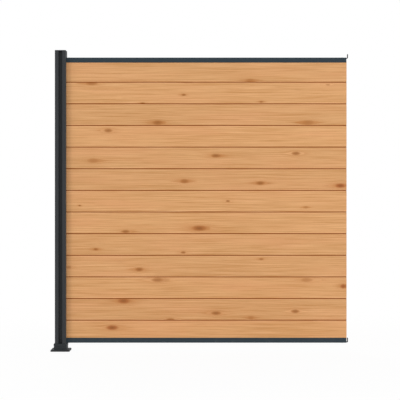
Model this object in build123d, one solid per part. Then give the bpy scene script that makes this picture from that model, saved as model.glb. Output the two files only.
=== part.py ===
"""One bay of a plug-in garden fence: softwood boards between aluminium rails, on one grooved post.

The post is an extrusion with a groove in each of its four sides. It stands in a cast foot with a
bolt-down plate. The boards are stacked tongue in groove between two channel rails. Boards and rails
end inside the post's groove, and angle brackets tie each rail to the post. The far end has the same
brackets, ready for the next post.

Frame: the origin is on the ground under the post's axis. +X runs along the fence away from the
post, +Y to the back and +Z up. Millimetres.
"""

from build123d import *
import os

# Driving dimensions: heights of the whole bay
ground_clearance = 50.5
post_above_panel = 44.5

# Post extrusion
post_size = 70.0
post_wall = 2.0
post_corner_radius = 2.5
groove_width = 24.0
groove_floor_shoulder = 3.0
groove_mouth_radius = 1.0
port_bore_radius = 2.6
port_boss_wall = 2.0
port_to_groove = 0.4

# Post cap
cap_thickness = 5.0
cap_edge_chamfer = 1.2
cap_plug_length = 18.0
cap_plug_clearance = 0.4
cap_plug_taper = 1.5

# Cast foot
plate_margin = 25.0
plate_thickness = 10.0
plate_corner_radius = 8.0
plate_edge_chamfer = 1.2
anchor_hole_radius = 5.5
anchor_edge_distance = 14.0
socket_clearance = 0.3
sleeve_wall = 5.7
sleeve_corner_radius = 6.0
sleeve_root_bevel = 2.0
rim_overhang = 1.0
rim_height = 16.0
rim_round = 4.5
foot_to_panel = 2.0

# Boards
board_count = 13
board_length = 1785.0
board_thickness = 19.0
board_cover = 137.0
board_chamfer = 3.2
tongue_height = 9.0
tongue_thickness = 6.2
tongue_tip_chamfer = 1.2
tongue_side_clearance = 0.3
tongue_end_clearance = 0.7
starter_rip_allowance = 0.3
board_end_gap = 9.0

# Rails
rail_height = 31.5
rail_side_wall = 1.6
rail_cross_wall = 2.0
rail_chamber = 11.5
rail_side_clearance = 0.4
rail_edge_radius = 0.8
rail_end_setback = 1.5
expansion_gap = 3.0
drain_slot_count = 4
drain_slot_length = 30.0
drain_slot_width = 6.0

# Angle brackets
bracket_thickness = 4.0
bracket_bend_radius = 3.0
bracket_upright = 28.0
bracket_arm = 48.0
bracket_side_clearance = 0.4
bracket_upright_hole = 17.0
bracket_arm_hole = 36.0
bracket_hole_radius = 2.3

# Screws
screw_shank_radius = 2.0
screw_length = 9.5
screw_head_radius = 4.0
screw_head_height = 2.6
screw_hole_clearance = 0.1
foot_screw_length = 40.0
foot_screw_head_radius = 5.0
foot_screw_head_height = 5.0
foot_screw_port_clearance = 0.1
foot_screw_hole_clearance = 0.4
foot_screw_recess = 0.5
counterbore_clearance = 0.3

# Post: derived sizes
groove_floor = groove_width / 2 + groove_floor_shoulder
groove_depth = post_size / 2 - groove_floor
core_inside = 2 * (groove_floor - post_wall)
chamber_start = groove_width / 2 + post_wall
chamber_end = post_size / 2 - post_wall
port_boss_radius = port_bore_radius + port_boss_wall
port_offset = groove_width / 2 + port_to_groove + port_boss_radius

# Panel: derived sizes
board_groove_depth = tongue_height + tongue_end_clearance
starter_rip = board_groove_depth + starter_rip_allowance
starter_height = board_cover - starter_rip
rail_width = board_thickness + 2 * (rail_side_clearance + rail_side_wall)
rail_seat = 2 * rail_cross_wall + rail_chamber
panel_bottom = ground_clearance
stack_bottom = panel_bottom + rail_seat
stack_top = stack_bottom + starter_height + (board_count - 1) * board_cover
panel_top = stack_top + expansion_gap + rail_seat
board_start = groove_floor + board_end_gap
board_end = board_start + board_length
rail_start = board_start + rail_end_setback
rail_length = board_length - 2 * rail_end_setback
bracket_start = groove_floor
bracket_end = board_end + board_end_gap
bracket_width = rail_width - 2 * (rail_side_wall + bracket_side_clearance)

# Foot and post: derived heights
foot_height = panel_bottom - foot_to_panel
total_height = panel_top + post_above_panel
post_bottom = plate_thickness
post_top = total_height - cap_thickness
socket_size = post_size + 2 * socket_clearance
sleeve_size = socket_size + 2 * sleeve_wall
rim_size = sleeve_size + 2 * rim_overhang
plate_size = post_size + 2 * plate_margin
anchor_spacing = plate_size - 2 * anchor_edge_distance
foot_screw_shank_radius = port_bore_radius - foot_screw_port_clearance
foot_screw_hole_radius = foot_screw_shank_radius + foot_screw_hole_clearance
counterbore_radius = foot_screw_head_radius + counterbore_clearance
counterbore_depth = foot_screw_head_height + foot_screw_recess

QUARTER_TURNS = (0, 90, 180, 270)
STANDING = (Align.CENTER, Align.CENTER, Align.MIN)
HANGING = (Align.CENTER, Align.CENTER, Align.MAX)
# A cutter's length over the depth that it passes through, half on each side of its middle
CUTTER_OVERRUN = 4
SAME_PLACE = 1e-3


def on_corners(offset):
    """The four places at plus and minus the offset in X and Y."""
    return [Pos(x, y, 0) for x in (-offset, offset) for y in (-offset, offset)]


def post_section():
    """Square outline with four grooves, a core, four corner chambers and four screw ports."""
    outline = RectangleRounded(post_size, post_size, post_corner_radius)
    groove = Pos(groove_floor + groove_depth / 2, 0) * Rectangle(groove_depth, groove_width)
    for turn in QUARTER_TURNS:
        outline -= Rot(0, 0, turn) * groove
    mouth = [v for v in outline.vertices() if is_groove_mouth(v)]
    outline = fillet(mouth, groove_mouth_radius)

    chamber_size = chamber_end - chamber_start
    chamber_middle = (chamber_start + chamber_end) / 2
    hollows = Rectangle(core_inside, core_inside)
    hollows += [
        place * Rectangle(chamber_size, chamber_size)
        for place in on_corners(chamber_middle)
    ]
    hollows -= [place * Circle(port_boss_radius) for place in on_corners(port_offset)]
    ports = [place * Circle(port_bore_radius) for place in on_corners(port_offset)]
    return outline - hollows - ports


def is_groove_mouth(vertex):
    """True where a groove's side wall meets the post's face."""
    near, far = sorted((abs(vertex.X), abs(vertex.Y)))
    return abs(near - groove_width / 2) < SAME_PLACE and abs(far - post_size / 2) < SAME_PLACE


def make_post():
    """The extrusion, with a pilot hole in the panel groove's floor for each bracket."""
    post = Pos(0, 0, post_bottom) * extrude(post_section(), post_top - post_bottom)
    pilot = Rot(0, 90, 0) * Cylinder(screw_shank_radius + screw_hole_clearance, CUTTER_OVERRUN * post_wall)
    for height in bracket_hole_heights():
        post -= Pos(groove_floor - post_wall / 2, 0, height) * pilot
    return post


def make_post_cap():
    """Flat cap with bevelled top edges and a tapered plug for each corner chamber."""
    cap = extrude(RectangleRounded(post_size, post_size, post_corner_radius), cap_thickness)
    cap = chamfer(cap.faces().sort_by(Axis.Z)[-1].edges(), cap_edge_chamfer)
    plug_start = port_offset + port_boss_radius + cap_plug_clearance
    plug_end = chamber_end - cap_plug_clearance
    plug = extrude(Rectangle(plug_end - plug_start, plug_end - plug_start), -cap_plug_length)
    plug = chamfer(plug.faces().sort_by(Axis.Z)[0].edges(), cap_plug_taper)
    for place in on_corners((plug_start + plug_end) / 2):
        cap += place * plug
    return Pos(0, 0, post_top) * cap


def make_foot():
    """Casting: bolt-down plate, sleeve round the post's end and a thicker rim on top."""
    plate = extrude(RectangleRounded(plate_size, plate_size, plate_corner_radius), plate_thickness)
    plate = chamfer(plate.faces().sort_by(Axis.Z)[-1].edges(), plate_edge_chamfer)

    sleeve_outline = RectangleRounded(sleeve_size, sleeve_size, sleeve_corner_radius)
    foot = plate + extrude(sleeve_outline, foot_height - rim_height / 2)
    root = foot.edges().filter_by_position(Axis.Z, plate_thickness, plate_thickness)
    reach = sleeve_size / 2 + sleeve_root_bevel / 2
    root = [e for e in root if max(abs(e.center().X), abs(e.center().Y)) < reach]
    foot = chamfer(root, sleeve_root_bevel)

    rim_outline = RectangleRounded(rim_size, rim_size, sleeve_corner_radius + rim_overhang)
    rim = extrude(rim_outline, rim_height)
    rim = fillet(rim.faces().sort_by(Axis.Z)[-1].edges(), rim_round)
    foot += Pos(0, 0, foot_height - rim_height) * rim

    socket = RectangleRounded(socket_size, socket_size, post_corner_radius + socket_clearance)
    foot -= Pos(0, 0, plate_thickness) * extrude(socket, foot_height)
    anchor_hole = Cylinder(anchor_hole_radius, CUTTER_OVERRUN * plate_thickness)
    for place in on_corners(anchor_spacing / 2):
        foot -= place * anchor_hole
    counterbore = Cylinder(counterbore_radius, counterbore_depth, align=STANDING)
    screw_hole = Cylinder(foot_screw_hole_radius, CUTTER_OVERRUN * plate_thickness)
    for place in on_corners(port_offset):
        foot -= place * (counterbore + screw_hole)
    return foot


def make_screw(head_radius, head_height, shank_radius, length):
    """A screw standing on its seat at the origin, head up and shank down."""
    head = Cylinder(head_radius, head_height, align=STANDING)
    return head + Cylinder(shank_radius, length, align=HANGING)


def make_foot_screws():
    """Four screws up through the counterbored plate into the post's screw ports."""
    screw = make_screw(
        foot_screw_head_radius, foot_screw_head_height, foot_screw_shank_radius, foot_screw_length
    )
    screw = Pos(0, 0, counterbore_depth) * Rot(180, 0, 0) * screw
    return Compound(children=[place * screw for place in on_corners(port_offset)])


def rail_section():
    """Channel over a closed chamber, opening upwards, on the rail's underside."""
    outline = Pos(0, rail_height / 2) * Rectangle(rail_width, rail_height)
    outline = fillet(outline.vertices(), rail_edge_radius)
    inside = rail_width - 2 * rail_side_wall
    chamber = Pos(0, rail_cross_wall + rail_chamber / 2) * Rectangle(inside, rail_chamber)
    channel = Pos(0, rail_seat + rail_height / 2) * Rectangle(inside, rail_height)
    return outline - chamber - channel


def make_rail():
    """A rail along +X on the ground plane, channel up, drilled for its two bracket screws."""
    rail = extrude(Plane.YZ * rail_section(), rail_length)
    hole = Cylinder(screw_shank_radius + screw_hole_clearance, CUTTER_OVERRUN * rail_cross_wall)
    for along in (bracket_start + bracket_arm_hole, bracket_end - bracket_arm_hole):
        rail -= Pos(along - rail_start, 0, 0) * hole
    return rail


def make_bottom_rail():
    """The rail under the boards, with punched drain slots through its web and floor."""
    rail = make_rail()
    slot = Box(drain_slot_length, drain_slot_width, CUTTER_OVERRUN * rail_seat)
    pitch = rail_length / drain_slot_count
    for index in range(drain_slot_count):
        rail -= Pos(pitch * (index + 0.5), 0, 0) * slot
    return Pos(rail_start, 0, panel_bottom) * rail


def make_top_rail():
    """The same rail turned over, on top of the boards."""
    return Pos(rail_start, 0, panel_top) * Rot(180, 0, 0) * make_rail()


def board_section(has_tongue, has_groove):
    """Cross-section of a board: chamfered edges, a tongue on top and a groove below."""
    body = Pos(0, board_cover / 2) * Rectangle(board_thickness, board_cover)
    section = chamfer(body.vertices(), board_chamfer)
    if has_tongue:
        tongue = Pos(0, tongue_height / 2) * Rectangle(tongue_thickness, tongue_height)
        tip = tongue.vertices().group_by(Axis.Y)[-1]
        section += Pos(0, board_cover) * chamfer(tip, tongue_tip_chamfer)
    if has_groove:
        width = tongue_thickness + 2 * tongue_side_clearance
        section -= Pos(0, board_groove_depth / 2) * Rectangle(width, board_groove_depth)
    else:
        section -= Pos(0, starter_rip / 2) * Rectangle(2 * board_thickness, starter_rip)
    return section


def make_board(index):
    """Board number index from the bottom. The lowest is ripped below, the highest has no tongue."""
    section = board_section(has_tongue=index < board_count - 1, has_groove=index > 0)
    underside = stack_bottom - starter_rip + index * board_cover
    return Pos(board_start, 0, underside) * extrude(Plane.YZ * section, board_length)


def make_bracket():
    """Folded angle with its outer corner at the origin, arm along +X and upright along +Z."""
    arm = Pos(bracket_arm / 2, bracket_thickness / 2) * Rectangle(bracket_arm, bracket_thickness)
    upright = Pos(bracket_thickness / 2, bracket_upright / 2) * Rectangle(bracket_thickness, bracket_upright)
    profile = arm + upright
    by_corner = profile.vertices().sort_by_distance((0, 0))
    profile = fillet(by_corner[0], bracket_bend_radius + bracket_thickness)
    by_corner = profile.vertices().sort_by_distance((bracket_thickness, bracket_thickness))
    profile = fillet(by_corner[0], bracket_bend_radius)
    bracket = extrude(Plane.XZ * profile, bracket_width / 2, both=True)
    hole = Cylinder(bracket_hole_radius, CUTTER_OVERRUN * bracket_thickness)
    bracket -= Pos(bracket_arm_hole, 0, bracket_thickness / 2) * hole
    bracket -= Pos(bracket_thickness / 2, 0, bracket_upright_hole) * Rot(0, 90, 0) * hole
    return bracket


def bracket_heights():
    """Undersides of the brackets' arms: on the bottom rail's floor and under the top rail's cover."""
    bottom = panel_bottom + rail_cross_wall
    top = panel_top - rail_cross_wall - bracket_thickness
    return bottom, top


def bracket_hole_heights():
    """Heights of the screw holes in the brackets' uprights."""
    return [height + bracket_upright_hole for height in bracket_heights()]


def make_brackets():
    """Four like brackets, one for each end of each rail, by node name."""
    brackets = {}
    for level, height in zip(("bottom", "top"), bracket_heights()):
        brackets[f"bracket_{level}_left"] = Pos(bracket_start, 0, height) * make_bracket()
        brackets[f"bracket_{level}_right"] = Pos(bracket_end, 0, height) * Rot(0, 0, 180) * make_bracket()
    return brackets


def make_bracket_screw():
    """The short screw that holds a bracket to its rail or to the post."""
    return make_screw(screw_head_radius, screw_head_height, screw_shank_radius, screw_length)


def make_rail_screws():
    """One screw through each end of each rail into its bracket's arm."""
    screws = []
    for along in (bracket_start + bracket_arm_hole, bracket_end - bracket_arm_hole):
        screws.append(Pos(along, 0, panel_bottom) * Rot(180, 0, 0) * make_bracket_screw())
        screws.append(Pos(along, 0, panel_top) * make_bracket_screw())
    return Compound(children=screws)


def make_post_screws():
    """One screw through each left-hand bracket's upright into the post's groove floor."""
    seat = bracket_start + bracket_thickness
    turned = Rot(0, 90, 0) * make_bracket_screw()
    return Compound(children=[Pos(seat, 0, height) * turned for height in bracket_hole_heights()])


def main():
    """Makes every piece and writes one file for each."""
    nodes = {
        "post": make_post(),
        "post_cap": make_post_cap(),
        "foot": make_foot(),
        "foot_screws": make_foot_screws(),
        "bottom_rail": make_bottom_rail(),
        "top_rail": make_top_rail(),
        "rail_screws": make_rail_screws(),
        "post_screws": make_post_screws(),
    }
    nodes.update(make_brackets())
    for index in range(board_count):
        nodes[f"board_{index + 1:02d}"] = make_board(index)

    os.makedirs("parts", exist_ok=True)
    for name, shape in nodes.items():
        export_step(shape, f"parts/{name}.step")


if __name__ == "__main__":
    main()
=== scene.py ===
"""Studio picture of one fence bay: softwood boards between aluminium rails on a grooved post.

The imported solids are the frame. The boards and the screws are rebuilt as surfaces that carry their
grain, knots and drive recesses; the post, foot, cap, rails and brackets keep their solids and get a
powder-coat or plastic finish. Lengths are in metres, +X along the fence, +Y to the back, +Z up.
"""

import logging
from dataclasses import dataclass, field
from enum import Enum
from typing import Dict, List, Mapping, Sequence, Tuple, Union

import bmesh
import bpy
import numpy as np
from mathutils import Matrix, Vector


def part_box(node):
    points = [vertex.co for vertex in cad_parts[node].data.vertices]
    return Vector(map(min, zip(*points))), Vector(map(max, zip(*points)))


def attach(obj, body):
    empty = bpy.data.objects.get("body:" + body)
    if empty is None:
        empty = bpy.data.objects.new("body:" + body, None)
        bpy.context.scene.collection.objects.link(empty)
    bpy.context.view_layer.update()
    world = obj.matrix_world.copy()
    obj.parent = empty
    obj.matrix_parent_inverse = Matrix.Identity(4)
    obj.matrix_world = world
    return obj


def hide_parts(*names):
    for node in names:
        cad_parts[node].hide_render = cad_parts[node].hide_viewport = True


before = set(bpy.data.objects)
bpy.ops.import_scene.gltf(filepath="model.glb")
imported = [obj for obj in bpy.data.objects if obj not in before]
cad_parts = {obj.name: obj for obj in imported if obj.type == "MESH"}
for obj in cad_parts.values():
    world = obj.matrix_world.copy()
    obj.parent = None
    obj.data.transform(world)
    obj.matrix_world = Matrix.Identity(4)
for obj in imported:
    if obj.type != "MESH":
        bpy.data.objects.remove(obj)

LOG = logging.getLogger("fence_bay")
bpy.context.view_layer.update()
MM = 0.001
ROOT = "root"

# A Mix node's factor, first and second colour among its inputs, and the colour among its outputs
COLOUR_MIX_INPUTS = (0, 6, 7)
COLOUR_MIX_RESULT = 2

Colour = Tuple[float, float, float, float]
Triple = Tuple[float, float, float]
Material = bpy.types.Material
Mesh = bpy.types.Mesh
Node = bpy.types.Node
Outputs = bpy.types.NodeOutputs
Socket = bpy.types.NodeSocket
Sockets = Dict[str, Socket]
Feed = Union[float, Triple, Colour, Socket]


def paint(red: int, green: int, blue: int) -> Colour:
    """Turns a screen colour into the linear one that shaders use, by the sRGB curve.

    Args:
        red, green, blue: screen values from 0 to 255.

    Returns:
        The linear colour with full alpha.
    """
    screen = np.array([red, green, blue]) / 255.0
    linear = np.where(screen <= 0.04045, screen / 12.92, ((screen + 0.055) / 1.055) ** 2.4)
    return (*linear.tolist(), 1.0)


@dataclass(frozen=True)
class Pattern:
    """A noise from 0 to 1: bumps per metre along each axis, octaves, and how much each octave adds."""

    scale: Triple = (1.0, 1.0, 1.0)
    detail: float = 2.0
    rough: float = 0.5


@dataclass(frozen=True)
class Band:
    """A smooth step from one value to another, and what it gives at each of them."""

    low: float
    high: float
    at_low: float = 0.0
    at_high: float = 1.0


@dataclass(frozen=True)
class Line:
    """A straight line: what a value is multiplied by, and what is then added."""

    gain: float
    offset: float


@dataclass(frozen=True)
class Relief:
    """How strongly a height shows as bump, and how deep the bump is taken to be."""

    strength: float
    depth: float


class Wiring:
    """Adds nodes to one shader tree and joins them up."""

    def __init__(self, tree: bpy.types.NodeTree) -> None:
        """Clears the tree and keeps it, for nodes to be added."""
        self.tree = tree
        tree.nodes.clear()

    def node(self, kind: str, feeds: Mapping[Union[str, int], Feed], **settings: object) -> Node:
        """Adds a node, with other nodes' outputs linked in and constants set on its own inputs.

        Args:
            kind: Blender's type name of the node.
            feeds: input name or number to an output or a constant.
            settings: the node's own properties.

        Returns:
            The new node.
        """
        node = self.tree.nodes.new(kind)
        for key, value in settings.items():
            setattr(node, key, value)
        for key, value in feeds.items():
            if isinstance(value, bpy.types.NodeSocket):
                self.tree.links.new(value, node.inputs[key])
            else:
                node.inputs[key].default_value = value
        return node

    def math(self, operation: str, *operands: Feed, clamp: bool = False) -> Socket:
        """The result of one Math node."""
        feeds = dict(enumerate(operands))
        return self.node("ShaderNodeMath", feeds, operation=operation, use_clamp=clamp).outputs[0]

    def times(self, first: Feed, second: Feed) -> Socket:
        """The product of two values."""
        return self.math("MULTIPLY", first, second)

    def plus(self, base: Feed, value: Feed, share: Feed) -> Socket:
        """A base with a share of a value added to it."""
        return self.math("MULTIPLY_ADD", value, share, base)

    def line(self, value: Feed, line: Line, clamp: bool = False) -> Socket:
        """The value times the line's gain, plus its offset."""
        return self.math("MULTIPLY_ADD", value, line.gain, line.offset, clamp=clamp)

    def vector(self, operation: str, *operands: Feed) -> Socket:
        """The vector result of one Vector Math node."""
        return self.node("ShaderNodeVectorMath", dict(enumerate(operands)), operation=operation).outputs[0]

    def split(self, vector: Socket) -> Tuple[Socket, Socket, Socket]:
        """The three parts of a vector."""
        outputs = self.node("ShaderNodeSeparateXYZ", {0: vector}).outputs
        return outputs[0], outputs[1], outputs[2]

    def join(self, x: Feed, y: Feed, z: Feed) -> Socket:
        """A vector from its three parts."""
        return self.node("ShaderNodeCombineXYZ", {0: x, 1: y, 2: z}).outputs[0]

    def place(self) -> Socket:
        """The place on the piece, in metres."""
        return self.node("ShaderNodeTexCoord", {}).outputs["Object"]

    def facing(self) -> Socket:
        """The direction that the surface faces."""
        return self.node("ShaderNodeNewGeometry", {}).outputs["Normal"]

    def attribute(self, name: str) -> Outputs:
        """The outputs that read one of the piece's own attributes."""
        return self.node("ShaderNodeAttribute", {}, attribute_name=name).outputs

    def seen(self) -> Socket:
        """Tells rays that see the surface straight, in a reflection or through glass.

        Returns:
            One on such a ray, or nothing.
        """
        path = self.node("ShaderNodeLightPath", {}).outputs
        straight = self.math("MAXIMUM", path["Is Camera Ray"], path["Is Glossy Ray"])
        return self.math("MAXIMUM", straight, path["Is Transmission Ray"])

    def noise(self, vector: Socket, pattern: Pattern) -> Socket:
        """Noise from 0 to 1 that is stretched along the axes.

        Args:
            vector: the place, in metres.
            pattern: the noise's scales and octaves.

        Returns:
            The noise value.
        """
        place = self.vector("MULTIPLY", vector, pattern.scale)
        feeds = {"Vector": place, "Scale": 1.0, "Detail": pattern.detail, "Roughness": pattern.rough}
        return self.node("ShaderNodeTexNoise", feeds).outputs[0]

    def smooth(self, value: Feed, band: Band) -> Socket:
        """A smooth step of a value over a band."""
        feeds = {"Value": value, "From Min": band.low, "From Max": band.high,
                 "To Min": band.at_low, "To Max": band.at_high}
        return self.node("ShaderNodeMapRange", feeds, interpolation_type="SMOOTHSTEP").outputs[0]

    def blend(self, factor: Feed, first: Feed, second: Feed) -> Socket:
        """A mix of two colours, the first at a factor of 0 and the second at 1."""
        feeds = dict(zip(COLOUR_MIX_INPUTS, (factor, first, second)))
        return self.node("ShaderNodeMix", feeds, data_type="RGBA").outputs[COLOUR_MIX_RESULT]

    def shade(self, colour: Feed, factor: Socket) -> Socket:
        """A colour or another vector multiplied by a value."""
        return self.vector("MULTIPLY", colour, self.join(factor, factor, factor))


class Effect(Wiring):
    """A shader node group that is built once and then put into materials, with its inputs' names."""

    name: str
    vectors: Tuple[str, ...] = ()
    values: Tuple[str, ...] = ()

    def __init__(self) -> None:
        """Makes the group's sockets and wires what lies between them."""
        super().__init__(bpy.data.node_groups.new(self.name, "ShaderNodeTree"))
        kinds = dict.fromkeys(self.vectors, "NodeSocketVector")
        kinds.update(dict.fromkeys(self.values, "NodeSocketFloat"))
        for name, kind in kinds.items():
            self.tree.interface.new_socket(name=name, in_out="INPUT", socket_type=kind)
        self.given = self.node("NodeGroupInput", {}).outputs
        results = self.build()
        for name in results:
            self.tree.interface.new_socket(name=name, in_out="OUTPUT", socket_type="NodeSocketFloat")
        self.node("NodeGroupOutput", results)

    def build(self) -> Sockets:
        """Wires the effect.

        Returns:
            Output name to socket.
        """
        raise NotImplementedError

    def put(self, wires: Wiring, feeds: Mapping[str, Feed]) -> Outputs:
        """Puts the group into a material, with its inputs by name, and gives its outputs there."""
        return wires.node("ShaderNodeGroup", feeds, node_tree=self.tree).outputs


class KnotFlow(Effect):
    """Bends straight fibres round a knot and marks the knot itself.

    A fibre that starts at height s passes the knot at sqrt(s squared + a bell of the distance along),
    so the start is sqrt(height squared - bell), in units of the knot's half height.
    """

    name = "knot_flow"
    vectors = ("Knot", "Place")
    full_pull = 2.5 * MM
    bell_fall = -0.55
    ragged = Pattern((90.0, 90.0, 160.0), 2.0, 0.6)
    ragged_reach = Line(0.36, -0.18)
    stub_edge = Band(0.55, 1.3, 1.0, 0.0)
    heart_edge = Band(0.10, 0.80, 1.0, 0.0)
    halo_along = 0.22
    halo_across = 0.7
    halo_fall = -0.9

    def build(self) -> Sockets:
        """Wires the fibres' shift, then the stub, its heart and the stained wood about it.

        Returns:
            Output name to socket.
        """
        along, across, half_height = self.split(self.given["Knot"])
        present = self.math("MULTIPLY", half_height, 1.0 / self.full_pull, clamp=True)
        along_sq, across_sq = self.times(along, along), self.times(across, across)
        bell = self.times(self.math("EXPONENT", self.times(along_sq, self.bell_fall)), present)
        start = self.math("SQRT", self.math("MAXIMUM", self.math("SUBTRACT", across_sq, bell), 0.0))
        start = self.times(start, self.math("SIGN", across))
        shift = self.times(self.math("SUBTRACT", start, across), half_height)

        ragged = self.line(self.noise(self.given["Place"], self.ragged), self.ragged_reach)
        radius = self.math("ADD", self.math("SQRT", self.math("ADD", along_sq, across_sq)), ragged)
        mask = self.times(self.smooth(radius, self.stub_edge), present)
        heart = self.times(self.smooth(radius, self.heart_edge), mask)
        spread = self.plus(self.times(across_sq, self.halo_across), along_sq, self.halo_along)
        halo = self.times(self.math("EXPONENT", self.times(spread, self.halo_fall)), present)
        return {"Shift": shift, "Mask": mask, "Heart": heart, "Halo": halo, "Radius": radius}


class GrowthRings(Effect):
    """Annual rings about a board's pith line, with fibre streaks along the board.

    The ring number is the distance from the pith line over the ring width; its fraction runs from pale
    spring wood to a thin dark line of summer wood.
    """

    name = "growth_rings"
    vectors = ("Place", "Pith")
    values = ("Shift", "Ring Width")
    seed_step = 37.0
    wander_y = Pattern((0.8, 11.0, 1.0), 1.0)
    wander_z = Pattern((0.6, 17.0, 1.0), 1.0)
    wander_z_row = 0.5
    wander_y_reach = 20 * MM
    wander_z_reach = 40 * MM
    ripple = Pattern((5.0, 60.0, 60.0))
    ripple_reach = Line(3 * MM, -1.5 * MM)
    years = Pattern((45.0, 5.0, 1.0), 1.0)
    years_reach = 2.4
    summer_rise = Band(0.25, 0.9)
    summer_end = Band(0.93, 1.0, 1.0, 0.0)
    long_streak = Pattern((1.2, 210.0, 210.0), 3.0, 0.6)
    short_streak = Pattern((3.6, 230.0, 230.0), 2.0, 0.6)
    short_share = 0.5
    fibre = Pattern((14.0, 1500.0, 1500.0))
    resin = Pattern((7.0, 420.0, 420.0), 1.0)
    resin_edge = Band(0.66, 0.74)
    cloud = Pattern((1.6, 9.0, 9.0))

    def build(self) -> Sockets:
        """Wires the rings, then the streaks that run along the fibres.

        Returns:
            Output name to socket.
        """
        x, y, z = self.split(self.given["Place"])
        pith_y, pith_z, seed = self.split(self.given["Pith"])
        flow_z = self.math("ADD", z, self.given["Shift"])
        place = self.join(self.plus(x, seed, self.seed_step), y, flow_z)

        sway_y = self.noise(self.join(x, seed, 0.0), self.wander_y)
        sway_z = self.noise(self.join(x, seed, self.wander_z_row), self.wander_z)
        from_y = self.math("SUBTRACT", y, self.plus(pith_y, sway_y, self.wander_y_reach))
        from_z = self.math("SUBTRACT", flow_z, self.plus(pith_z, sway_z, self.wander_z_reach))
        radius = self.math("SQRT", self.plus(self.times(from_z, from_z), from_y, from_y))
        radius = self.math("ADD", radius, self.line(self.noise(place, self.ripple), self.ripple_reach))
        years = self.noise(self.join(radius, seed, 0.0), self.years)
        number = self.math("DIVIDE", radius, self.given["Ring Width"])
        fraction = self.math("FRACT", self.plus(number, years, self.years_reach))
        rise, end = self.smooth(fraction, self.summer_rise), self.smooth(fraction, self.summer_end)

        long_streak = self.times(self.noise(place, self.long_streak), 1.0 - self.short_share)
        return {
            "Summer Wood": self.times(rise, end),
            "Streak": self.plus(long_streak, self.noise(place, self.short_streak), self.short_share),
            "Fibre": self.noise(place, self.fibre),
            "Resin": self.smooth(self.noise(place, self.resin), self.resin_edge),
            "Cloud": self.noise(place, self.cloud),
        }


class EdgeWear(Effect):
    """Marks the rubbed edges of a box-shaped piece.

    On a box's face the nearest side is at no distance, so the second smallest of the three distances to
    the sides is the distance to the nearest edge.
    """

    name = "edge_wear"
    vectors = ("Place", "Low", "High")
    values = ("Width",)
    rub = Pattern((60.0, 60.0, 25.0), 3.0, 0.65)
    rub_reach = Line(2.2, -0.45)
    least_reach = 0.05 * MM
    fade = Band(0.5, 1.0, 1.0, 0.0)

    def build(self) -> Sockets:
        """Wires the distance to the nearest edge and the uneven width that is rubbed.

        Returns:
            Output name to socket.
        """
        place = self.given["Place"]
        above = self.vector("SUBTRACT", place, self.given["Low"])
        below = self.vector("SUBTRACT", self.given["High"], place)
        x, y, z = self.split(self.vector("MINIMUM", above, below))
        smaller, larger = self.math("MINIMUM", x, y), self.math("MAXIMUM", x, y)
        second = self.math("MAXIMUM", smaller, self.math("MINIMUM", larger, z))
        uneven = self.line(self.noise(place, self.rub), self.rub_reach)
        reach = self.math("MAXIMUM", self.times(self.given["Width"], uneven), self.least_reach)
        return {"Mask": self.smooth(self.math("DIVIDE", second, reach), self.fade)}


class CoatTexture(Effect):
    """Fine pebble of a sprayed coat or a moulded skin, with drawing lines and slow patches of shine."""

    name = "coat_texture"
    vectors = ("Place", "Draw")
    values = ("Pebble",)
    pebble = Pattern(detail=1.5)
    lines = Pattern()
    patch = Pattern((9.0, 9.0, 4.0), 3.0, 0.6)
    line_share = 0.35
    tint_swing = Line(0.10, 0.95)

    def build(self) -> Sockets:
        """Wires the pebble, the drawing lines and the patches.

        Returns:
            Output name to socket.
        """
        place = self.given["Place"]
        pebble = self.noise(self.shade(place, self.given["Pebble"]), self.pebble)
        lines = self.noise(self.vector("MULTIPLY", place, self.given["Draw"]), self.lines)
        patch = self.noise(place, self.patch)
        return {
            "Height": self.plus(self.times(pebble, 1.0 - self.line_share), lines, self.line_share),
            "Patch": patch,
            "Tint": self.times(self.line(pebble, self.tint_swing), self.line(patch, self.tint_swing)),
        }


class Dust(Effect):
    """Pale dust on faces that look up and soil splash near the ground."""

    name = "dust"
    vectors = ("Place", "Facing")
    upward = Band(0.5, 1.0)
    specks = Pattern((45.0, 45.0, 45.0), 4.0, 0.7)
    settled = Band(0.3, 0.8)
    splash_height = Band(0.0, 0.16, 0.5, 0.0)
    splash = Band(0.45, 0.85)

    def build(self) -> Sockets:
        """Wires the settled dust and the splash, and keeps the stronger.

        Returns:
            Output name to socket.
        """
        height, upward = self.split(self.given["Place"])[2], self.split(self.given["Facing"])[2]
        specks = self.noise(self.given["Place"], self.specks)
        settled = self.times(self.smooth(upward, self.upward), self.smooth(specks, self.settled))
        splash = self.times(self.smooth(height, self.splash_height), self.smooth(specks, self.splash))
        return {"Mask": self.math("MAXIMUM", settled, splash)}


@dataclass
class Effects:
    """The shared shader groups, built once."""

    knots: KnotFlow = field(default_factory=KnotFlow)
    rings: GrowthRings = field(default_factory=GrowthRings)
    wear: EdgeWear = field(default_factory=EdgeWear)
    coat: CoatTexture = field(default_factory=CoatTexture)
    dust: Dust = field(default_factory=Dust)


class Surface(Wiring):
    """A new material and the wiring of its nodes."""

    def __init__(self, name: str) -> None:
        """Makes the material, without nodes.

        Args:
            name: the material's name.
        """
        self.material = bpy.data.materials.new(name)
        self.material.use_nodes = True
        super().__init__(self.material.node_tree)

    def finish(self, feeds: Mapping[str, Feed], height: Socket, relief: Relief) -> Material:
        """Adds the Principled shader.

        Args:
            feeds: the shader's inputs by name, apart from its bump.
            height: the surface's fine height.
            relief: how the height shows.

        Returns:
            The finished material.
        """
        bump = {"Strength": relief.strength, "Distance": relief.depth, "Height": height}
        normal = self.node("ShaderNodeBump", bump).outputs[0]
        shader = self.node("ShaderNodeBsdfPrincipled", {**feeds, "Normal": normal})
        self.node("ShaderNodeOutputMaterial", {"Surface": shader.outputs[0]})
        return self.material


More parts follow.
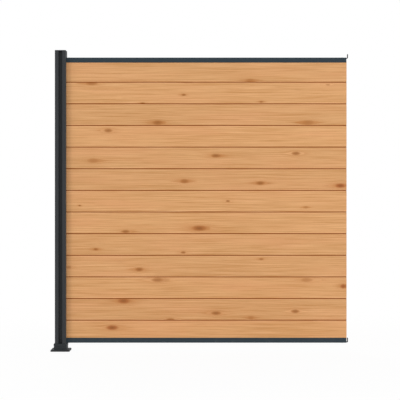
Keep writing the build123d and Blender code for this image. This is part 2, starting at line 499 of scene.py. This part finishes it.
@dataclass(frozen=True)
class SoftwoodFinish:
    """Oiled softwood: spring and summer wood, knots, and a painted shade that darkens the V-joints between
    boards.

    The light of the pores is what they add to a sawn end's light of one.
    """

    pale: Colour = paint(240, 190, 138)
    deep: Colour = paint(196, 142, 86)
    rosy: Colour = paint(226, 164, 120)
    summer: Colour = paint(186, 122, 66)
    resin: Colour = paint(158, 96, 44)
    knot: Colour = paint(166, 108, 52)
    knot_heart: Colour = paint(112, 64, 24)
    knot_red: Colour = paint(172, 96, 50)
    # painted shade: the dark brown laid into the V-joints where their chamfers lie in shade
    painted_joint_shade: Colour = paint(146, 70, 2)
    ring_width: float = 3.4 * MM
    specular: float = 0.2
    pale_streaks: Line = Line(3.3, -1.15)
    rosy_clouds: Band = Band(0.4, 0.8, 0.0, 0.4)
    summer_share: float = 0.6
    resin_share: float = 0.35
    fibre_light: Line = Line(0.16, 0.92)
    cloud_light: Line = Line(0.10, 0.95)
    sawn_face: Band = Band(0.5, 0.95)
    pores: Pattern = Pattern((700.0, 700.0, 700.0), 2.0, 0.7)
    pore_light: Line = Line(0.5, -0.45)
    halo_cover: Line = Line(0.8, 0.15)
    knot_cover: Line = Line(0.92, 0.2)
    knot_rings: float = 21.0
    knot_ring_share: float = 0.16
    heart_share: float = 0.85
    painted_joint_shade_edge: Band = Band(0.0, 0.42)
    roughness: float = 0.66
    summer_polish: float = -0.10
    knot_polish: float = -0.14
    summer_height: float = 0.6
    fibre_height: float = 0.5
    knot_height: float = 0.8
    relief: Relief = Relief(0.35, 0.4 * MM)

    def material(self, effects: Effects) -> Material:
        """The boards' material; it reads the boards' own pith, knot, look and painted joint shade
        attributes.

        Args:
            effects: the shared groups.

        Returns:
            The material.
        """
        wires = Surface("softwood")
        place = wires.place()
        flow = effects.knots.put(wires, {"Knot": wires.attribute("knot")["Vector"], "Place": place})
        rings = effects.rings.put(wires, {
            "Place": place, "Pith": wires.attribute("pith")["Vector"], "Shift": flow["Shift"],
            "Ring Width": self.ring_width})
        dark, red, tone = wires.split(wires.attribute("look")["Vector"])

        colour = self.clear_wood(wires, rings, place, tone)
        colour = self.with_knot(wires, colour, flow, dark, red)
        # painted shade: the V-joint's chamfers turn dark brown the deeper they lie behind the face
        painted_joint_shade = wires.smooth(wires.attribute("painted_joint_shade")["Fac"], self.painted_joint_shade_edge)
        colour = wires.blend(painted_joint_shade, colour, self.painted_joint_shade)

        rough = wires.plus(self.roughness, rings["Summer Wood"], self.summer_polish)
        rough = wires.plus(rough, flow["Mask"], self.knot_polish)
        height = wires.times(rings["Fibre"], self.fibre_height)
        height = wires.plus(height, rings["Summer Wood"], self.summer_height)
        height = wires.plus(height, flow["Mask"], self.knot_height)
        feeds = {"Base Color": colour, "Roughness": rough, "Specular IOR Level": self.specular}
        return wires.finish(feeds, height, self.relief)

    def clear_wood(self, wires: Wiring, rings: Outputs, place: Socket, tone: Socket) -> Socket:
        """The colour of wood without knots: streaks, clouds and rings, and open pores on the sawn ends.

        Args:
            wires: adds nodes to the material.
            rings: the growth rings' outputs.
            place: the place on the board.
            tone: the board's lightness.

        Returns:
            The colour.
        """
        pale = wires.line(rings["Streak"], self.pale_streaks, clamp=True)
        colour = wires.blend(pale, self.deep, self.pale)
        colour = wires.blend(wires.smooth(rings["Cloud"], self.rosy_clouds), colour, self.rosy)
        colour = wires.blend(wires.times(rings["Summer Wood"], self.summer_share), colour, self.summer)
        colour = wires.blend(wires.times(rings["Resin"], self.resin_share), colour, self.resin)

        light = wires.line(rings["Fibre"], self.fibre_light)
        light = wires.times(light, wires.line(rings["Cloud"], self.cloud_light))
        sawn = wires.smooth(wires.math("ABSOLUTE", wires.split(wires.facing())[0]), self.sawn_face)
        pores = wires.line(wires.noise(place, self.pores), self.pore_light)
        light = wires.times(light, wires.plus(1.0, sawn, pores))
        return wires.shade(colour, wires.times(light, tone))

    def with_knot(self, wires: Wiring, colour: Socket, flow: Outputs, dark: Socket, red: Socket) -> Socket:
        """The wood's colour with the nearest knot laid over it.

        Args:
            wires: adds nodes to the material.
            colour: the wood without knots.
            flow: the knot flow's outputs.
            dark, red: the knot's look.

        Returns:
            The colour.
        """
        halo = wires.times(flow["Halo"], wires.line(dark, self.halo_cover))
        colour = wires.blend(halo, colour, self.summer)
        waves = wires.math("SINE", wires.times(flow["Radius"], self.knot_rings))
        heart = wires.plus(wires.times(flow["Heart"], self.heart_share), waves, self.knot_ring_share)
        stub = wires.blend(red, self.knot, self.knot_red)
        stub = wires.blend(wires.math("MULTIPLY", heart, dark, clamp=True), stub, self.knot_heart)
        cover = wires.times(flow["Mask"], wires.line(dark, self.knot_cover, clamp=True))
        return wires.blend(cover, colour, stub)


@dataclass(frozen=True)
class CoatFinish:
    """Powder coat on metal, or the skin of a moulded piece."""

    colour: Colour
    bare: Colour
    dust: Colour = paint(150, 146, 138)
    roughness: float = 0.42
    roughness_swing: float = 0.16
    dust_roughness: float = 0.8
    specular: float = 0.15
    pebble: float = 1500.0
    draw: Triple = (0.0, 0.0, 0.0)
    relief: Relief = Relief(0.25, 0.2 * MM)
    wear_width: float = 0.6 * MM
    wear_amount: float = 0.2
    dust_amount: float = 0.16

    def material(self, node: str, effects: Effects) -> Material:
        """The finish on one solid.

        Args:
            node: the solid, whose box gives the edges.
            effects: the shared groups.

        Returns:
            The material.
        """
        wires = Surface(f"{node}_finish")
        low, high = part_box(node)
        place = wires.place()
        coat = effects.coat.put(wires, {"Place": place, "Pebble": self.pebble, "Draw": self.draw})
        wear = effects.wear.put(wires, {
            "Place": place, "Low": tuple(low), "High": tuple(high), "Width": self.wear_width})
        dust = effects.dust.put(wires, {"Place": place, "Facing": wires.facing()})

        dusty = wires.times(dust["Mask"], self.dust_amount)
        colour = wires.shade(self.colour[:3], coat["Tint"])
        colour = wires.blend(wires.times(wear["Mask"], self.wear_amount), colour, self.bare)
        colour = wires.blend(dusty, colour, self.dust)
        rough = wires.plus(self.roughness - self.roughness_swing / 2, coat["Patch"], self.roughness_swing)
        rough = wires.plus(rough, dusty, self.dust_roughness)
        feeds = {"Base Color": colour, "Roughness": rough, "Specular IOR Level": self.specular}
        return wires.finish(feeds, coat["Height"], self.relief)


@dataclass(frozen=True)
class SteelFinish:
    """Stainless screw steel with fine turning marks."""

    colour: Colour = paint(176, 176, 172)
    soiled: Colour = paint(96, 94, 90)
    roughness: float = 0.34
    soil_roughness: float = 0.5
    pebble: float = 2600.0
    draw: Triple = (900.0, 900.0, 5000.0)
    soil: Band = Band(0.45, 0.75, 0.0, 0.45)
    relief: Relief = Relief(0.2, 0.1 * MM)

    def material(self, effects: Effects) -> Material:
        """The screws' material.

        Args:
            effects: the shared groups.

        Returns:
            The material.
        """
        wires = Surface("screw_steel")
        coat = effects.coat.put(wires, {"Place": wires.place(), "Pebble": self.pebble, "Draw": self.draw})
        soil = wires.smooth(coat["Patch"], self.soil)
        colour = wires.shade(wires.blend(soil, self.colour, self.soiled), coat["Tint"])
        rough = wires.plus(self.roughness, soil, self.soil_roughness)
        feeds = {"Base Color": colour, "Roughness": rough, "Metallic": 1.0}
        return wires.finish(feeds, coat["Height"], self.relief)


def closed_tube(name: str, rings: np.ndarray) -> Mesh:
    """A mesh from closed rings of points, with a flat face over the first and the last ring.

    Args:
        name: the mesh's name.
        rings: points, shaped tubes x rings x points x 3.

    Returns:
        The mesh with its faces pointing outwards.
    """
    tubes, count, around, _ = rings.shape
    start = (np.arange(count - 1) * around)[:, None]
    here = np.arange(around)
    after = (here + 1) % around
    quads = np.stack([start + here, start + after, start + around + after, start + around + here], axis=-1)
    faces: List[List[int]] = []
    for first in range(0, tubes * count * around, count * around):
        faces += (first + quads.reshape(-1, 4)).tolist()
        faces.append((first + here[::-1]).tolist())
        faces.append((first + (count - 1) * around + here).tolist())
    mesh = bpy.data.meshes.new(name)
    mesh.from_pydata(rings.reshape(-1, 3).tolist(), [], faces)
    shell = bmesh.new()
    shell.from_mesh(mesh)
    bmesh.ops.recalc_face_normals(shell, faces=shell.faces)
    shell.to_mesh(mesh)
    shell.free()
    return mesh


def add_piece(mesh: Mesh, material: Material, node: str) -> None:
    """Shows a mesh in place of a solid, riding with the frame.

    Args:
        mesh: the piece's surface.
        material: its finish.
        node: the solid that it stands for.
    """
    piece = bpy.data.objects.new(mesh.name, mesh)
    bpy.context.scene.collection.objects.link(piece)
    mesh.materials.append(material)
    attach(piece, ROOT)
    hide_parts(node)
    LOG.info("%s: %d faces for %s", piece.name, len(mesh.polygons), node)


@dataclass(frozen=True)
class Knot:
    """A branch stub in a board, in millimetres: place along the row and above the board's lower edge."""

    along: float
    up: float
    half_length: float
    half_height: float
    dark: float = 0.6
    red: float = 0.2


# Board number from the bottom to the knots in it
BOARD_KNOTS: Dict[int, Tuple[Knot, ...]] = {
    1: (Knot(325, 90, 36, 16, 0.7, 0.7),),
    2: (Knot(398, 122, 38, 17, 0.7, 0.6), Knot(694, 3, 28, 12, 0.5), Knot(983, 45, 30, 13),
        Knot(1203, 16, 20, 10, 0.25), Knot(1484, 56, 26, 13)),
    3: (Knot(612, 118, 37, 15, 0.5), Knot(1560, 118, 36, 14, 0.25), Knot(1788, 78, 19, 14, 0.65, 0.8)),
    4: (Knot(50, 62, 16, 9, 0.3), Knot(496, 47, 25, 13), Knot(1269, 113, 14, 7, 0.45)),
    5: (Knot(221, 38, 16, 8), Knot(775, 18, 16, 8)),
    6: (Knot(410, 13, 27, 11), Knot(877, 34, 44, 17, 0.7, 0.5)),
    7: (Knot(119, 41, 7, 4, 0.9), Knot(1058, 69, 13, 7), Knot(1551, 30, 14, 7, 0.2)),
    8: (Knot(783, 58, 26, 13, 0.5), Knot(1262, 46, 27, 12, 0.65), Knot(1770, 30, 31, 14, 0.75, 0.8)),
    9: (Knot(204, 51, 34, 14, 0.25), Knot(982, 82, 31, 12, 0.65), Knot(1488, 97, 27, 13)),
    10: (Knot(300, 105, 25, 13, 0.55),),
    11: (Knot(613, 18, 33, 14), Knot(1564, 18, 36, 14, 0.3)),
    12: (Knot(195, 129, 35, 12, 0.45), Knot(517, 2, 15, 7, 0.8), Knot(778, 57, 14, 7),
         Knot(1269, 13, 12, 6, 0.5), Knot(1691, 121, 14, 7, 0.25)),
    13: (Knot(1199, 11, 29, 10, 0.3),),
}


class BoardRole(Enum):
    """Where a board lies in the stack."""

    STARTER = "ripped along its lower edge, in the bottom rail"
    FIELD = "whole"
    TOP = "without its tongue, in the top rail"


@dataclass(frozen=True)
class BoardProfile:
    """Cross-section of a tongue-and-groove board, from its lower shoulder up."""

    thickness: float = 19 * MM
    cover: float = 137 * MM
    chamfer: float = 3.2 * MM
    tongue_height: float = 9 * MM
    tongue_thickness: float = 6.2 * MM
    tongue_bevel: float = 1.2 * MM
    groove_depth: float = 9.7 * MM
    groove_width: float = 6.8 * MM
    rip: float = 10 * MM
    ease: float = 0.5 * MM
    ease_limit: float = 0.3

    def corners(self, role: BoardRole) -> np.ndarray:
        """Sharp corners of the front half mirrored to the back, as rows of y and z.

        Args:
            role: which edges are cut.

        Returns:
            The closed outline's corners in order.
        """
        face, inset = self.thickness / 2, self.thickness / 2 - self.chamfer
        groove, tongue = self.groove_width / 2, self.tongue_thickness / 2
        if role is BoardRole.STARTER:
            half = [(-face, self.rip)]
        else:
            half = [(-groove, self.groove_depth), (-groove, 0.0), (-inset, 0.0), (-face, self.chamfer)]
        half += [(-face, self.cover - self.chamfer), (-inset, self.cover)]
        if role is not BoardRole.TOP:
            tip = self.cover + self.tongue_height
            half += [(-tongue, self.cover), (-tongue, tip - self.tongue_bevel)]
            half += [(self.tongue_bevel - tongue, tip)]
        front = np.array(half)
        return np.concatenate([front, front[::-1] * (-1.0, 1.0)])

    def outline(self, role: BoardRole) -> np.ndarray:
        """The outline with every corner eased.

        Each corner becomes three points: one a little way back along each of its two edges, and the
        middle of the quadratic curve between them. The ease limit is a share of the shorter edge.

        Args:
            role: which edges are cut.

        Returns:
            Rows of y and z.
        """
        corner = self.corners(role)
        back, ahead = np.roll(corner, 1, axis=0) - corner, np.roll(corner, -1, axis=0) - corner
        back_length = np.linalg.norm(back, axis=1, keepdims=True)
        ahead_length = np.linalg.norm(ahead, axis=1, keepdims=True)
        reach = np.minimum(self.ease, self.ease_limit * np.minimum(back_length, ahead_length))
        first, last = corner + back / back_length * reach, corner + ahead / ahead_length * reach
        middle = 0.5 * corner + 0.25 * (first + last)
        return np.stack([first, middle, last], axis=1).reshape(-1, 2)


@dataclass(frozen=True)
class BoardStack:
    """The thirteen boards between the rails.

    The pith limits are the least and the most of its y and its z from the board's middle, and of a seed;
    the tone limits are of a board's lightness. A knot pulls on the fibres in full up to the first of the
    pull limits, in half lengths, and not at all past the second. The stations along a board are rounded
    to the station digits, so that two that fall together are one.
    """

    profile: BoardProfile = BoardProfile()
    count: int = 13
    seed: int = 41
    pith_limits: Tuple[Triple, Triple] = ((-0.06, 0.09, 0.0), (0.06, 0.17, 1.0))
    tone_limits: Tuple[float, float] = (0.97, 1.03)
    pull_limits: Tuple[float, float] = (3.0, 4.0)
    stations: int = 36
    station_digits: int = 6
    end_ease: float = 0.5 * MM
    slot: str = "softwood"

    def build(self, wood: Material) -> None:
        """Makes every board.

        Args:
            wood: the boards' material.
        """
        draws = np.random.default_rng(self.seed)
        pith = draws.uniform(*self.pith_limits, (self.count, 3))
        pith[:, 1] *= draws.choice((-1.0, 1.0), self.count)
        tone = draws.uniform(*self.tone_limits, self.count)
        for index in range(self.count):
            self.board(index + 1, pith[index], tone[index], wood)

    def board(self, number: int, pith: np.ndarray, tone: float, wood: Material) -> None:
        """One board: its outline carried along the fence, with the fields that its material reads.

        The outline is drawn in a little towards its middle at both ends. The painted joint shade field is
        how far a point lies behind the board's face, up to 1 at the chamfer's depth, and 0 on the sawn
        ends; the material darkens the V-joints by it.

        Args:
            number: board number from the bottom.
            pith: the pith line's y and z from the board's middle, and a seed.
            tone: overall lightness.
            wood: the material.
        """
        node = f"board_{number:02d}"
        role = {1: BoardRole.STARTER, self.count: BoardRole.TOP}.get(number, BoardRole.FIELD)
        low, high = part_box(node)
        lower_edge = low[2] - (self.profile.rip if role is BoardRole.STARTER else 0.0)
        outline = self.profile.outline(role)
        knots = BOARD_KNOTS[number]
        along = self.along(low[0], high[0], knots)
        half_thickness, half_cover = self.profile.thickness / 2, self.profile.cover / 2
        rings = np.empty((len(along), len(outline), 3))
        rings[:, :, 0] = along[:, None]
        rings[:, :, 1:] = outline
        rings[[0, -1], :, 1:] += ((0.0, half_cover) - outline) * self.end_ease / half_thickness
        rings[:, :, 2] += lower_edge
        mesh = closed_tube(f"softwood_{node}", rings[None])

        # painted shade in the V-joints: depth behind the face, which the material turns dark brown
        depth = (half_thickness - np.abs(outline[:, 0])) / self.profile.chamfer
        painted_joint_shade = np.tile(np.clip(depth, 0.0, 1.0), (len(along), 1))
        painted_joint_shade[[0, -1]] = 0.0
        mesh.attributes.new("painted_joint_shade", "FLOAT", "POINT").data.foreach_set("value", painted_joint_shade.ravel())
        place, look = self.knot_fields(rings, knots, lower_edge, tone)
        self.write(mesh, "pith", np.broadcast_to(pith + (0.0, lower_edge + half_cover, 0.0), rings.shape))
        self.write(mesh, "knot", place)
        self.write(mesh, "look", look)
        add_piece(mesh, wood, node)

    def along(self, start: float, end: float, knots: Sequence[Knot]) -> np.ndarray:
        """Stations along a board: even ones, both eased ends, and the limits of each knot's pull.

        Args:
            start, end: the board's ends.
            knots: its knots.

        Returns:
            Rising x values.
        """
        inner, outer = start + self.end_ease, end - self.end_ease
        even = np.linspace(inner, outer, self.stations)
        steps = [side * limit for side in (-1, 1) for limit in self.pull_limits]
        pulls = np.array([k.along + step * k.half_length for k in knots for step in steps]) * MM
        stations = np.clip(np.concatenate([even, pulls]), inner, outer)
        return np.concatenate([[start], np.unique(stations.round(self.station_digits)), [end]])

    def knot_fields(self, rings: np.ndarray, knots: Sequence[Knot], lower_edge: float,
                    tone: float) -> Tuple[np.ndarray, np.ndarray]:
        """Each point's place about the nearest knot, and that knot's look.

        The place is the distance along over the knot's half length, the height over its half height, and
        the half height itself, which fades to nothing between the pull limits.

        Args:
            rings: the board's points.
            knots: the board's knots.
            lower_edge: height of the board's lower shoulder.
            tone: overall lightness.

        Returns:
            The place and the look, as vectors per point.
        """
        table = np.array([[k.along, k.up, k.half_length, k.half_height] for k in knots]) * MM
        looks = np.array([[k.dark, k.red] for k in knots])
        x = rings[:, 0, 0]
        apart = np.abs(x[:, None] - table[:, 0]) / table[:, 2]
        nearest = np.argmin(apart, axis=1)
        along, up, half_length, half_height = table[nearest].T
        full, none = self.pull_limits
        fade = np.clip((none - apart.min(axis=1)) / (none - full), 0.0, 1.0)
        place, look = np.empty(rings.shape), np.empty(rings.shape)
        place[:, :, 0] = ((x - along) / half_length)[:, None]
        place[:, :, 1] = (rings[:, :, 2] - lower_edge - up[:, None]) / half_height[:, None]
        place[:, :, 2] = (half_height * fade)[:, None]
        look[:, :, :2] = looks[nearest][:, None, :]
        look[:, :, 2] = tone
        return place, look

    @staticmethod
    def write(mesh: Mesh, name: str, vectors: np.ndarray) -> None:
        """Stores a vector on every point of a mesh."""
        data = mesh.attributes.new(name, "FLOAT_VECTOR", "POINT").data
        data.foreach_set("vector", np.ascontiguousarray(vectors).ravel())


@dataclass(frozen=True)
class Screw:
    """A screw with a six-lobed drive: its seat at the origin, its head above and its shank below.

    The crown is the share of the head's height that is lost from its middle to its rim. The drive's floor
    is given as shares of the lobes' radius and depth, and its lip as a length.
    """

    head_radius: float
    head_height: float
    crown: float
    shank_radius: float
    length: float
    pitch: float
    lobe_radius: float
    lobe_depth: float
    lobes: int = 6
    lobe_swell: float = 0.13
    floor_radius: float = 0.92
    floor_depth: float = 0.8
    lip: float = 0.02 * MM
    crown_start: float = 0.68
    crown_power: int = 5
    crown_steps: int = 6
    crest_slope: float = 4.0
    thread_root: float = 0.74
    point_share: float = 0.25
    around: int = 36
    steps_per_turn: int = 6

    def rings(self) -> np.ndarray:
        """The screw's surface as rings of points from the drive's floor to the shank's end.

        A profile of radius against height is carried round the axis. The drive's radius swells once for
        each lobe in a turn, and the thread's radius runs from root to crest and back once in each pitch,
        shifted by the angle so that it climbs. Over its last diameter the shank narrows to a point.

        Returns:
            Points, rings x around x 3.
        """
        angle = np.linspace(0.0, 2 * np.pi, self.around, endpoint=False)
        lobes = self.lobe_radius * (1.0 + self.lobe_swell * np.cos(self.lobes * angle))
        drive = np.outer((self.floor_radius, 1.0, 1.0), lobes)
        top, depth = self.head_height, self.lobe_depth
        drive_heights = (top - depth, top - depth * self.floor_depth, top - self.lip)
        share = np.linspace(self.crown_start, 1.0, self.crown_steps)
        head = np.append(self.head_radius * share, (self.head_radius, self.shank_radius))
        head_heights = np.append(top * (1.0 - self.crown * share ** self.crown_power), (0.0, 0.0))

        steps = int(round(self.length / self.pitch * self.steps_per_turn))
        down = np.linspace(0.0, self.length, steps + 1)[1:]
        phase = (down[:, None] / self.pitch + angle / (2 * np.pi)) % 1.0
        crest = np.clip(1.0 - np.abs(phase - 0.5) * self.crest_slope, 0.0, 1.0)
        taper = np.clip((self.length - down) / (2 * self.shank_radius), self.point_share, 1.0)[:, None]
        thread = self.shank_radius * (self.thread_root + (1.0 - self.thread_root) * crest) * taper
        radius = np.concatenate([drive, np.tile(head[:, None], self.around), thread])
        height = np.concatenate([drive_heights, head_heights, -down])
        points = np.empty(radius.shape + (3,))
        points[:, :, 0] = radius * np.cos(angle)
        points[:, :, 1] = radius * np.sin(angle)
        points[:, :, 2] = height[:, None]
        return points


@dataclass(frozen=True)
class ScrewSet:
    """Like screws that stand for one solid: seats and the directions that their shanks point in."""

    node: str
    screw: Screw
    seats: Tuple[Triple, ...]
    shanks: Tuple[Triple, ...]
    slot: str = "stainless"

    def build(self, material: Material) -> None:
        """Makes the screws as one piece.

        Args:
            material: the steel.
        """
        local = self.screw.rings()
        down = np.array(self.shanks)
        upright = down[:, 2:3] != 0.0
        side = np.where(upright, (1.0, 0.0, 0.0), (0.0, 1.0, 0.0))
        other = np.cross(side, down)
        turned = local @ np.stack([side, other, -down], axis=1)[:, None]
        name = self.node.replace("screws", "lobed_screws")
        mesh = closed_tube(name, turned + np.array(self.seats)[:, None, None])
        add_piece(mesh, material, self.node)


@dataclass(frozen=True)
class Fixings:
    """All the screws, placed on the solids that they clamp."""

    arm_hole: float = 36 * MM
    upright_hole: float = 17 * MM
    bracket_thickness: float = 4 * MM
    port_offset: float = 17 * MM
    pan: Screw = Screw(
        head_radius=4.0 * MM, head_height=2.6 * MM, crown=0.62, shank_radius=2.0 * MM, length=9.5 * MM,
        pitch=1.4 * MM, lobe_radius=1.75 * MM, lobe_depth=1.5 * MM)
    cap: Screw = Screw(
        head_radius=5.0 * MM, head_height=5.0 * MM, crown=0.1, shank_radius=2.5 * MM, length=40.0 * MM,
        pitch=2.4 * MM, lobe_radius=2.4 * MM, lobe_depth=2.6 * MM)

    def build(self, steel: Material) -> None:
        """Makes the three sets of screws.

        Args:
            steel: the screws' material.
        """
        for screws in (self.rail_screws(), self.post_screws(), self.foot_screws()):
            screws.build(steel)

    def rail_screws(self) -> ScrewSet:
        """One screw through each end of each rail.

        Returns:
            The set.
        """
        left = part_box("bracket_top_left")[0][0] + self.arm_hole
        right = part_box("bracket_top_right")[1][0] - self.arm_hole
        bottom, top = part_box("bottom_rail")[0][2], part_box("top_rail")[1][2]
        seats = tuple((x, 0.0, z) for x in (left, right) for z in (bottom, top))
        return ScrewSet("rail_screws", self.pan, seats, ((0.0, 0.0, 1.0), (0.0, 0.0, -1.0)) * 2)

    def post_screws(self) -> ScrewSet:
        """One screw through each left-hand bracket into the post.

        Returns:
            The set.
        """
        lows = [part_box(f"bracket_{level}_left")[0] for level in ("bottom", "top")]
        seats = tuple((low[0] + self.bracket_thickness, 0.0, low[2] + self.upright_hole) for low in lows)
        return ScrewSet("post_screws", self.pan, seats, ((-1.0, 0.0, 0.0),) * 2)

    def foot_screws(self) -> ScrewSet:
        """Four screws up through the foot plate.

        Returns:
            The set.
        """
        steps = (-self.port_offset, self.port_offset)
        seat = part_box("foot_screws")[0][2] + self.cap.head_height
        seats = tuple((x, y, seat) for x in steps for y in steps)
        return ScrewSet("foot_screws", self.cap, seats, ((0.0, 0.0, 1.0),) * 4)


@dataclass(frozen=True)
class Metalwork:
    """The solids that keep their shape: post, foot, cap, rails and brackets."""

    upright: CoatFinish = CoatFinish(paint(53, 55, 57), paint(104, 106, 108), draw=(900.0, 900.0, 2.0))
    lengthwise: CoatFinish = CoatFinish(paint(46, 57, 64), paint(104, 106, 108), draw=(2.0, 900.0, 900.0))
    cast: CoatFinish = CoatFinish(
        paint(52, 55, 57), paint(90, 92, 94), roughness=0.5, specular=0.06, pebble=700.0,
        relief=Relief(0.4, 0.2 * MM), wear_width=1.2 * MM, wear_amount=0.25, dust_amount=0.05)
    folded: CoatFinish = CoatFinish(paint(34, 36, 38), paint(96, 97, 98), roughness=0.55, specular=0.08)
    moulded: CoatFinish = CoatFinish(
        paint(44, 47, 50), paint(70, 74, 78), roughness=0.55, pebble=1100.0,
        relief=Relief(0.35, 0.2 * MM), wear_amount=0.3)

    def build(self, effects: Effects) -> None:
        """Dresses every solid.

        Args:
            effects: the shared groups.
        """
        worn = {"post": self.upright, "post_cap": self.moulded, "foot": self.cast}
        for level in ("bottom", "top"):
            worn[f"{level}_rail"] = self.lengthwise
            for side in ("left", "right"):
                worn[f"bracket_{level}_{side}"] = self.folded
        for node, finish in worn.items():
            material = finish.material(node, effects)
            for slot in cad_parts[node].material_slots:
                slot.material = material
            LOG.info("%s: finish %s", node, material.name)


@dataclass(frozen=True)
class Lamp:
    """A square soft lamp: where it hangs, its power in watts, and whether it shows in reflections."""

    name: str
    place: Triple
    power: float
    mirrored: bool = True
    size: float = 3.4

    def add(self, target: Triple) -> None:
        """Hangs the lamp so that it faces a point.

        Args:
            target: the point.
        """
        light = bpy.data.lights.new(self.name, "AREA")
        light.energy = self.power
        light.size = self.size
        lamp = bpy.data.objects.new(self.name, light)
        lamp.location = self.place
        aim = Vector(target) - Vector(self.place)
        lamp.rotation_euler = aim.to_track_quat("-Z", "Y").to_euler()
        lamp.visible_glossy = self.mirrored
        bpy.context.scene.collection.objects.link(lamp)


@dataclass(frozen=True)
class Studio:
    """Floor, soft light, white surround and the camera.

    The floor's glow is the share of plain white in what a straight look at the floor shows near the
    object, so that the object's shadow stays; it rises to all of it between the near and far distances.
    """

    eye: Triple = (0.881, -6.906, 0.954)
    lens: float = 98.04
    sensor: float = 36.0
    floor_size: float = 60.0
    floor_colour: Colour = paint(246, 246, 246)
    floor_glow: float = 0.95
    floor_near: float = 1.2
    floor_far: float = 3.2
    surround: float = 0.62
    white: Colour = (1.0, 1.0, 1.0, 1.0)
    target: Triple = (0.9, 0.0, 0.95)
    lamps: Tuple[Lamp, ...] = (
        Lamp("key_light", (-10.2, -8.0, 3.0), 360.0),
        Lamp("fill_light", (12.0, -8.0, 2.4), 720.0),
        Lamp("back_light", (-2.0, 9.0, 3.4), 420.0, mirrored=False),
    )

    def build(self) -> None:
        """Sets the stage."""
        self.add_floor()
        self.add_world()
        for lamp in self.lamps:
            lamp.add(self.target)
        self.add_camera()
        bpy.context.scene.view_settings.view_transform = "Standard"

    def add_floor(self) -> None:
        """A wide pale floor that glows white to the camera under the object's own shadow."""
        half = self.floor_size / 2
        corners = [(-half, -half, 0.0), (half, -half, 0.0), (half, half, 0.0), (-half, half, 0.0)]
        mesh = bpy.data.meshes.new("floor")
        mesh.from_pydata(corners, [], [(0, 1, 2, 3)])
        mesh.materials.append(self.floor_material())
        floor = bpy.data.objects.new("floor", mesh)
        bpy.context.scene.collection.objects.link(floor)

    def floor_material(self) -> Material:
        """Matt to the light that it bounces, and mostly white to a straight look.

        Returns:
            The floor's material.
        """
        wires = Surface("studio_floor")
        matt = wires.node("ShaderNodeBsdfDiffuse", {"Color": self.floor_colour}).outputs[0]
        glow = wires.node("ShaderNodeEmission", {"Strength": 1.0}).outputs[0]
        ends = {0: wires.place(), 1: self.target}
        away = wires.node("ShaderNodeVectorMath", ends, operation="DISTANCE").outputs["Value"]
        white = wires.smooth(away, Band(self.floor_near, self.floor_far, self.floor_glow, 1.0))
        share = wires.times(wires.seen(), white)
        mixed = wires.node("ShaderNodeMixShader", {0: share, 1: matt, 2: glow}).outputs[0]
        wires.node("ShaderNodeOutputMaterial", {"Surface": mixed})
        return wires.material

    def add_world(self) -> None:
        """Even light all round, white where it is seen straight or in a reflection."""
        world = bpy.data.worlds.new("studio_surround")
        world.use_nodes = True
        wires = Wiring(world.node_tree)
        strength = wires.line(wires.seen(), Line(1.0 - self.surround, self.surround))
        back = wires.node("ShaderNodeBackground", {"Color": self.white, "Strength": strength})
        wires.node("ShaderNodeOutputWorld", {"Surface": back.outputs[0]})
        bpy.context.scene.world = world

    def add_camera(self) -> None:
        """A level camera that looks straight at the panel."""
        data = bpy.data.cameras.new("camera")
        data.lens = self.lens
        data.sensor_width = self.sensor
        camera = bpy.data.objects.new("camera", data)
        camera.location = self.eye
        camera.rotation_euler = (np.pi / 2, 0.0, 0.0)
        bpy.context.scene.collection.objects.link(camera)
        bpy.context.scene.camera = camera


def main() -> None:
    """Builds the object and its stage in order."""
    logging.basicConfig(level=logging.INFO, format="%(name)s %(message)s")
    effects = Effects()
    Metalwork().build(effects)
    BoardStack().build(SoftwoodFinish().material(effects))
    Fixings().build(SteelFinish().material(effects))
    Studio().build()


if __name__ == "__main__":
    main()
